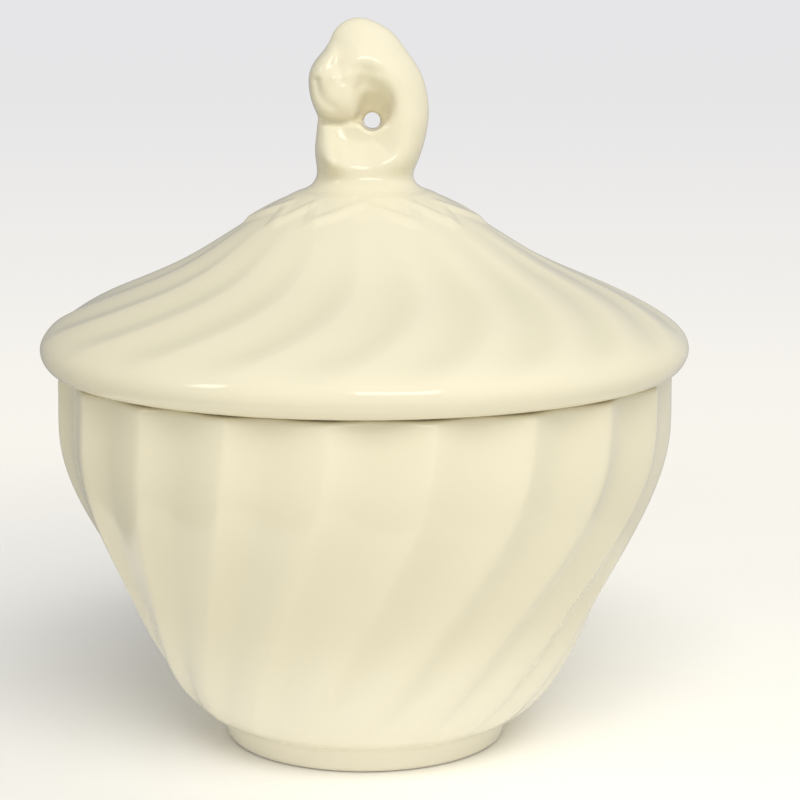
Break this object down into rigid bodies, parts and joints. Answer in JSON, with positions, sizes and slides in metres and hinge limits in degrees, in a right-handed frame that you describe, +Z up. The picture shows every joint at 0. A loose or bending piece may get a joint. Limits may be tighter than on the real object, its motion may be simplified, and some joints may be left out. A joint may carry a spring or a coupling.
{
  "type": "jam pot",
  "caption": "Covered jam pot in cream glazed earthenware: a bowl with twisted flutes on a small foot ring, and a loose domed lid with a leaf collar and a pierced scroll finial.",
  "frame": {"origin": "bottom centre of the foot ring, on the surface that the pot stands on", "axes": "+Z up along the pot's axis, +X to the right seen from the front, -Y towards the viewer"},
  "size_m": [0.1002, 0.1002, 0.1124],
  "materials": {
    "cream_glaze": "glossy cream glaze over earthenware"
  },
  "bodies": {
    "pot_body": {"pot": "cream_glaze"},
    "lid_body": {"lid": "cream_glaze", "finial": "cream_glaze"}
  },
  "joints": [
    {"name": "lid_lift", "type": "slide", "parent": "pot_body", "child": "lid_body", "axis": [0, 0, 1], "range_m": [0, 0.1]}
  ]
}
